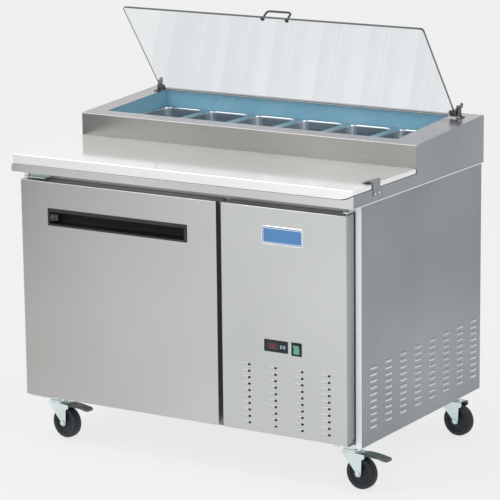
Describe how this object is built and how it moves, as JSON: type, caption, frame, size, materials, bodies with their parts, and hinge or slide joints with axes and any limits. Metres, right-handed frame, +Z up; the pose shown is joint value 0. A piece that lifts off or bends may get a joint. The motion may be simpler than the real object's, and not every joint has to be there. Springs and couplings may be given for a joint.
{
  "type": "refrigerated sandwich prep table",
  "caption": "Refrigerated sandwich prep table on casters: pan rail under a glass lid, cutting board in front, door below and a side-mounted cooling unit behind a louvred panel.",
  "frame": {"origin": "on the floor, under the middle of the whole footprint (front right caster pedal included)", "axes": "+X to the right as seen by the person at the door side, +Y to the back, +Z up"},
  "size_m": [1.2994, 0.8258, 1.3336],
  "materials": {
    "stainless": "satin",
    "side_steel": "satin",
    "well_steel": "satin",
    "pan_steel": "satin",
    "liner_aluminium": "satin",
    "foam": "matte",
    "gasket_grey": "matte",
    "handle_black": "satin",
    "board_white": "satin",
    "lid_glass": "gloss",
    "dark_metal": "satin",
    "zinc": "satin",
    "badge_blue": "gloss",
    "controller": "gloss",
    "button_grey": "gloss",
    "switch_black": "gloss",
    "switch_green": "gloss",
    "shelf_coating": "gloss",
    "compressor_black": "satin",
    "fins": "satin",
    "copper": "satin",
    "fan_black": "satin",
    "motor_metal": "satin",
    "housing_white": "satin",
    "wheel_tread": "matte",
    "pedal_grey": "satin"
  },
  "bodies": {
    "cabinet": {"side_panel_left": "side_steel", "side_panel_right": "side_steel", "rear_panel": "stainless", "base_pan": "zinc", "front_frame": "handle_black", "inner_liner": "liner_aluminium", "cabinet_foam": "foam", "worktop": "stainless", "rail_housing": "stainless", "rail_side_plates": "side_steel", "well_liner": "well_steel", "divider_bars": "pan_steel", "board_clip": "side_steel", "lid_brackets": "dark_metal", "hinge_brackets": "zinc", "wire_shelf": "shelf_coating", "evaporator_housing": "housing_white", "evaporator_coil": "fins", "fan_motors": "motor_metal", "condenser_coil": "fins", "fan_shroud": "zinc", "compressor": "compressor_black", "refrigerant_lines": "copper", "cord_gland": "switch_black", "caster_plates": "zinc", "fasteners": "zinc"},
    "door": {"door_skin": "stainless", "door_foam": "foam", "door_liner": "housing_white", "door_gasket": "gasket_grey", "door_handle": "handle_black"},
    "service_panel": {"service_panel": "stainless", "panel_badge": "badge_blue", "thermostat": "controller", "switch_bezel": "switch_black"},
    "lid": {"lid_glass": "lid_glass", "lid_handle": "dark_metal", "lid_clamps": "dark_metal"},
    "cutting_board": {"cutting_board": "board_white"},
    "evaporator_fan": {"evaporator_fan": "fan_black"},
    "condenser_fan": {"condenser_fan": "fan_black"},
    "switch_rocker": {"switch_rocker": "switch_green"},
    "button_up": {"button_up": "button_grey"},
    "button_down": {"button_down": "button_grey"},
    "pan_1": {"pan_1": "pan_steel"},
    "pan_2": {"pan_2": "pan_steel"},
    "pan_3": {"pan_3": "pan_steel"},
    "pan_4": {"pan_4": "pan_steel"},
    "pan_5": {"pan_5": "pan_steel"},
    "pan_6": {"pan_6": "pan_steel"},
    "caster_front_left": {"caster_fork_front_left": "zinc"},
    "wheel_front_left": {"caster_wheel_front_left": "wheel_tread"},
    "caster_front_right": {"caster_fork_front_right": "zinc"},
    "wheel_front_right": {"caster_wheel_front_right": "wheel_tread"},
    "caster_rear_left": {"caster_fork_rear_left": "zinc"},
    "wheel_rear_left": {"caster_wheel_rear_left": "wheel_tread"},
    "caster_rear_right": {"caster_fork_rear_right": "zinc"},
    "wheel_rear_right": {"caster_wheel_rear_right": "wheel_tread"},
    "pedal_front_left": {"brake_pedal_front_left": "pedal_grey"},
    "pedal_front_right": {"brake_pedal_front_right": "pedal_grey"}
  },
  "joints": [
    {"name": "door_hinge", "type": "hinge", "parent": "cabinet", "child": "door", "pos_m": [-0.60672, -0.3831, 0.5], "axis": [0, 0, -1], "range_deg": [0, 110], "stiffness_Nm_per_rad": 1},
    {"name": "service_panel_hinge", "type": "hinge", "parent": "cabinet", "child": "service_panel", "pos_m": [0.53428, -0.3831, 0.5], "axis": [0, 0, 1], "range_deg": [0, 100]},
    {"name": "lid_hinge", "type": "hinge", "parent": "cabinet", "child": "lid", "pos_m": [-0.03972, 0.3499, 1.042], "axis": [1, 0, 0], "range_deg": [0, 57.27]},
    {"name": "cutting_board_slide", "type": "slide", "parent": "cabinet", "child": "cutting_board", "axis": [0, -1, 0], "range_m": [0, 0.38]},
    {"name": "evaporator_fan_spin", "type": "hinge", "parent": "cabinet", "child": "evaporator_fan", "pos_m": [-0.01972, 0.0029, 0.645], "axis": [1, 0, 0], "continuous": true},
    {"name": "condenser_fan_spin", "type": "hinge", "parent": "cabinet", "child": "condenser_fan", "pos_m": [0.32528, -0.2121, 0.288], "axis": [0, 1, 0], "continuous": true},
    {"name": "switch_rock", "type": "hinge", "parent": "service_panel", "child": "switch_rocker", "pos_m": [0.37528, -0.4036, 0.424], "axis": [-1, 0, 0], "range_deg": [0, 16]},
    {"name": "button_up_press", "type": "slide", "parent": "service_panel", "child": "button_up", "axis": [0, 1, 0], "range_m": [0, 0.0012], "stiffness_N_per_m": 600},
    {"name": "button_down_press", "type": "slide", "parent": "service_panel", "child": "button_down", "axis": [0, 1, 0], "range_m": [0, 0.0012], "stiffness_N_per_m": 600},
    {"name": "pan_1_lift", "type": "slide", "parent": "cabinet", "child": "pan_1", "axis": [0, 0, 1], "range_m": [0, 0.034]},
    {"name": "pan_2_lift", "type": "slide", "parent": "cabinet", "child": "pan_2", "axis": [0, 0, 1], "range_m": [0, 0.034]},
    {"name": "pan_3_lift", "type": "slide", "parent": "cabinet", "child": "pan_3", "axis": [0, 0, 1], "range_m": [0, 0.034]},
    {"name": "pan_4_lift", "type": "slide", "parent": "cabinet", "child": "pan_4", "axis": [0, 0, 1], "range_m": [0, 0.034]},
    {"name": "pan_5_lift", "type": "slide", "parent": "cabinet", "child": "pan_5", "axis": [0, 0, 1], "range_m": [0, 0.034]},
    {"name": "pan_6_lift", "type": "slide", "parent": "cabinet", "child": "pan_6", "axis": [0, 0, 1], "range_m": [0, 0.034]},
    {"name": "swivel_front_left", "type": "hinge", "parent": "cabinet", "child": "caster_front_left", "pos_m": [-0.56072, -0.3131, 0.115], "axis": [0, 0, 1], "continuous": true},
    {"name": "roll_front_left", "type": "hinge", "parent": "caster_front_left", "child": "wheel_front_left", "pos_m": [-0.52705, -0.31783, 0.05], "axis": [0.1392, 0.9903, 0], "continuous": true},
    {"name": "brake_front_left", "type": "hinge", "parent": "caster_front_left", "child": "pedal_front_left", "pos_m": [-0.51418, -0.31964, 0.106], "axis": [0.1392, 0.9903, 0], "range_deg": [0, 14]},
    {"name": "swivel_front_right", "type": "hinge", "parent": "cabinet", "child": "caster_front_right", "pos_m": [0.51328, -0.3151, 0.115], "axis": [0, 0, 1], "continuous": true},
    {"name": "roll_front_right", "type": "hinge", "parent": "caster_front_right", "child": "wheel_front_right", "pos_m": [0.54695, -0.31983, 0.05], "axis": [0.1392, 0.9903, 0], "continuous": true},
    {"name": "brake_front_right", "type": "hinge", "parent": "caster_front_right", "child": "pedal_front_right", "pos_m": [0.55983, -0.32164, 0.106], "axis": [0.1392, 0.9903, 0], "range_deg": [0, 14]},
    {"name": "swivel_rear_left", "type": "hinge", "parent": "cabinet", "child": "caster_rear_left", "pos_m": [-0.56072, 0.3179, 0.115], "axis": [0, 0, 1], "continuous": true},
    {"name": "roll_rear_left", "type": "hinge", "parent": "caster_rear_left", "child": "wheel_rear_left", "pos_m": [-0.52705, 0.31317, 0.05], "axis": [0.1392, 0.9903, 0], "continuous": true},
    {"name": "swivel_rear_right", "type": "hinge", "parent": "cabinet", "child": "caster_rear_right", "pos_m": [0.50728, 0.3179, 0.115], "axis": [0, 0, 1], "continuous": true},
    {"name": "roll_rear_right", "type": "hinge", "parent": "caster_rear_right", "child": "wheel_rear_right", "pos_m": [0.54095, 0.31317, 0.05], "axis": [0.1392, 0.9903, 0], "continuous": true}
  ]
}
